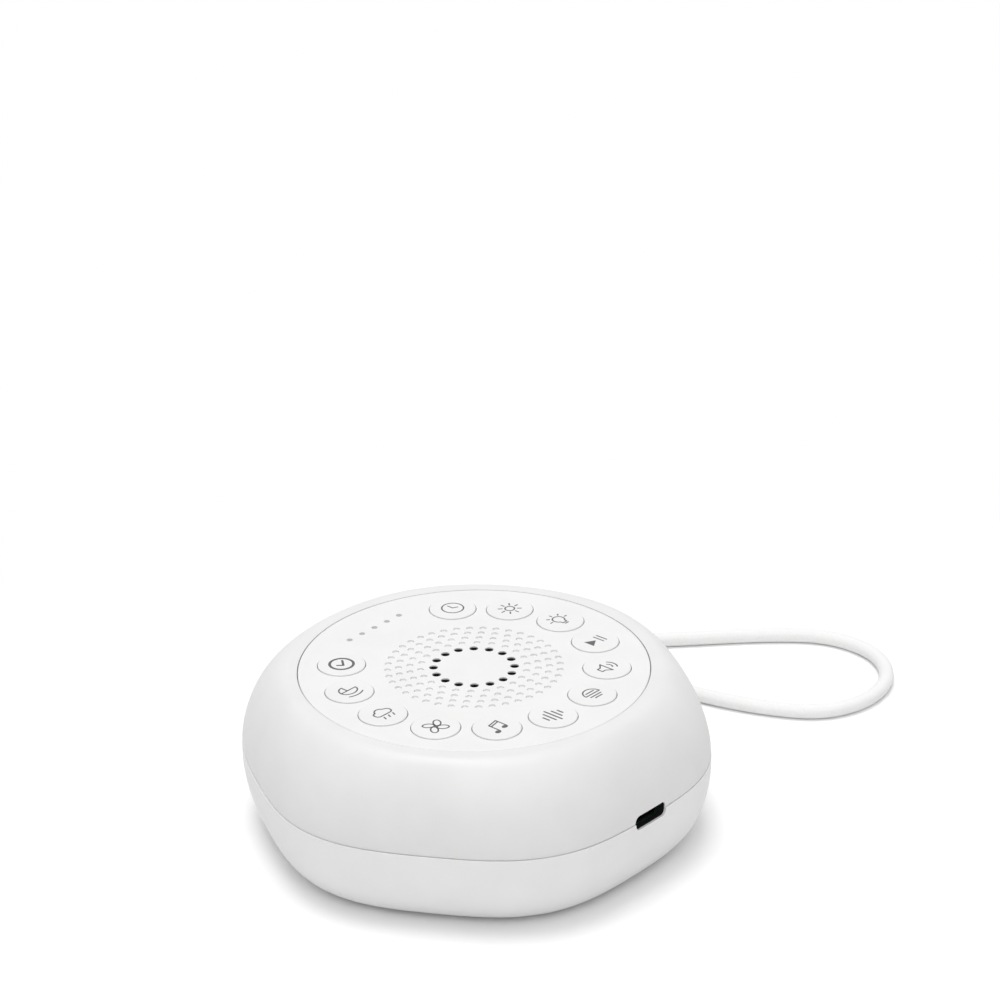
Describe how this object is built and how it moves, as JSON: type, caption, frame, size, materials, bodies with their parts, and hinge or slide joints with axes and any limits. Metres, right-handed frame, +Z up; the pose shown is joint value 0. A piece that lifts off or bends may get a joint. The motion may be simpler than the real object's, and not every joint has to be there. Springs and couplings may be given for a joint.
{
  "type": "white noise sound machine",
  "caption": "Portable white noise sound machine: a soft-cornered puck with push buttons in a ring round a speaker grille, a charging port in the seam and a hanging strap.",
  "frame": {"origin": "on the surface that the feet stand on, under the centre of the control panel", "axes": "+Z up out of the control panel, -Y out of the charging port, +Y towards the row of status lights; the strap leaves the case 30 degrees from +X towards +Y"},
  "size_m": [0.1696, 0.0972, 0.0372],
  "materials": {
    "shell_upper": "satin moulded plastic, very fine texture",
    "shell_lower": "satin moulded plastic, very fine texture",
    "panel_white": "smooth satin white",
    "button_white": "smooth satin white",
    "light_pipe": "frosted grey light pipe",
    "led_body": "small moulded lamp",
    "circuit_board": "green lacquered board",
    "dark_plastic": "black moulded plastic",
    "screw_steel": "plated steel",
    "black_cloth": "black acoustic mesh",
    "gasket_foam": "black foam",
    "basket_enamel": "black enamel",
    "cone_paper": "dark pressed paper",
    "surround_rubber": "soft black rubber",
    "coil_copper": "enamelled copper winding",
    "spider_cloth": "yellow treated cloth",
    "magnet_steel": "zinc plated steel",
    "ferrite": "dull dark ferrite",
    "socket_steel": "black nickel plated steel",
    "cell_foil": "satin foil pouch",
    "ribbon_film": "white film with copper tracks",
    "ivory_plastic": "ivory moulded plastic",
    "wire_sleeve": "soft red sleeve",
    "foot_rubber": "matt grey rubber",
    "grommet_plastic": "satin moulded plastic",
    "strap_cord": "soft white braided cord"
  },
  "bodies": {
    "case": {"upper_shell": "shell_upper", "lower_shell": "shell_lower", "top_panel": "panel_white", "status_light_pipes": "light_pipe", "status_leds": "led_body", "night_light_leds": "led_body", "key_board": "circuit_board", "main_board": "circuit_board", "key_switches": "dark_plastic", "processor_chip": "dark_plastic", "amplifier_chip": "dark_plastic", "charging_socket_tongue": "dark_plastic", "key_board_screws": "screw_steel", "main_board_screws": "screw_steel", "case_screws": "screw_steel", "acoustic_mesh": "black_cloth", "speaker_gasket": "gasket_foam", "speaker_basket": "basket_enamel", "speaker_surround": "surround_rubber", "speaker_spider": "spider_cloth", "speaker_gap_plate": "magnet_steel", "speaker_back_plate": "magnet_steel", "speaker_magnet": "ferrite", "charging_socket": "socket_steel", "battery_cell": "cell_foil", "ribbon_cable": "ribbon_film", "ribbon_sockets": "ivory_plastic", "battery_wires": "wire_sleeve", "speaker_wires": "wire_sleeve", "rubber_feet": "foot_rubber", "strap_grommet": "grommet_plastic", "strap_anchor": "grommet_plastic", "hanging_strap": "strap_cord"},
    "short_timer_key": {"button_short_timer": "button_white", "plunger_short_timer": "dark_plastic"},
    "bedtime_key": {"button_bedtime": "button_white", "plunger_bedtime": "dark_plastic"},
    "rain_cloud_key": {"button_rain_cloud": "button_white", "plunger_rain_cloud": "dark_plastic"},
    "fan_key": {"button_fan": "button_white", "plunger_fan": "dark_plastic"},
    "lullaby_key": {"button_lullaby": "button_white", "plunger_lullaby": "dark_plastic"},
    "white_noise_key": {"button_white_noise": "button_white", "plunger_white_noise": "dark_plastic"},
    "ocean_key": {"button_ocean": "button_white", "plunger_ocean": "dark_plastic"},
    "volume_key": {"button_volume": "button_white", "plunger_volume": "dark_plastic"},
    "play_pause_key": {"button_play_pause": "button_white", "plunger_play_pause": "dark_plastic"},
    "night_light_key": {"button_night_light": "button_white", "plunger_night_light": "dark_plastic"},
    "brightness_key": {"button_brightness": "button_white", "plunger_brightness": "dark_plastic"},
    "long_timer_key": {"button_long_timer": "button_white", "plunger_long_timer": "dark_plastic"},
    "speaker_diaphragm": {"speaker_cone": "cone_paper", "speaker_dust_cap": "cone_paper", "voice_coil": "coil_copper"}
  },
  "joints": [
    {"name": "short_timer_press", "type": "slide", "parent": "case", "child": "short_timer_key", "axis": [0, 0, -1], "range_m": [0, 0.0004], "stiffness_N_per_m": 400},
    {"name": "bedtime_press", "type": "slide", "parent": "case", "child": "bedtime_key", "axis": [0, 0, -1], "range_m": [0, 0.0004], "stiffness_N_per_m": 400},
    {"name": "rain_cloud_press", "type": "slide", "parent": "case", "child": "rain_cloud_key", "axis": [0, 0, -1], "range_m": [0, 0.0004], "stiffness_N_per_m": 400},
    {"name": "fan_press", "type": "slide", "parent": "case", "child": "fan_key", "axis": [0, 0, -1], "range_m": [0, 0.0004], "stiffness_N_per_m": 400},
    {"name": "lullaby_press", "type": "slide", "parent": "case", "child": "lullaby_key", "axis": [0, 0, -1], "range_m": [0, 0.0004], "stiffness_N_per_m": 400},
    {"name": "white_noise_press", "type": "slide", "parent": "case", "child": "white_noise_key", "axis": [0, 0, -1], "range_m": [0, 0.0004], "stiffness_N_per_m": 400},
    {"name": "ocean_press", "type": "slide", "parent": "case", "child": "ocean_key", "axis": [0, 0, -1], "range_m": [0, 0.0004], "stiffness_N_per_m": 400},
    {"name": "volume_press", "type": "slide", "parent": "case", "child": "volume_key", "axis": [0, 0, -1], "range_m": [0, 0.0004], "stiffness_N_per_m": 400},
    {"name": "play_pause_press", "type": "slide", "parent": "case", "child": "play_pause_key", "axis": [0, 0, -1], "range_m": [0, 0.0004], "stiffness_N_per_m": 400},
    {"name": "night_light_press", "type": "slide", "parent": "case", "child": "night_light_key", "axis": [0, 0, -1], "range_m": [0, 0.0004], "stiffness_N_per_m": 400},
    {"name": "brightness_press", "type": "slide", "parent": "case", "child": "brightness_key", "axis": [0, 0, -1], "range_m": [0, 0.0004], "stiffness_N_per_m": 400},
    {"name": "long_timer_press", "type": "slide", "parent": "case", "child": "long_timer_key", "axis": [0, 0, -1], "range_m": [0, 0.0004], "stiffness_N_per_m": 400},
    {"name": "speaker_excursion", "type": "slide", "parent": "case", "child": "speaker_diaphragm", "axis": [0, 0, 1], "range_m": [-0.0005, 0.0005], "stiffness_N_per_m": 900}
  ]
}
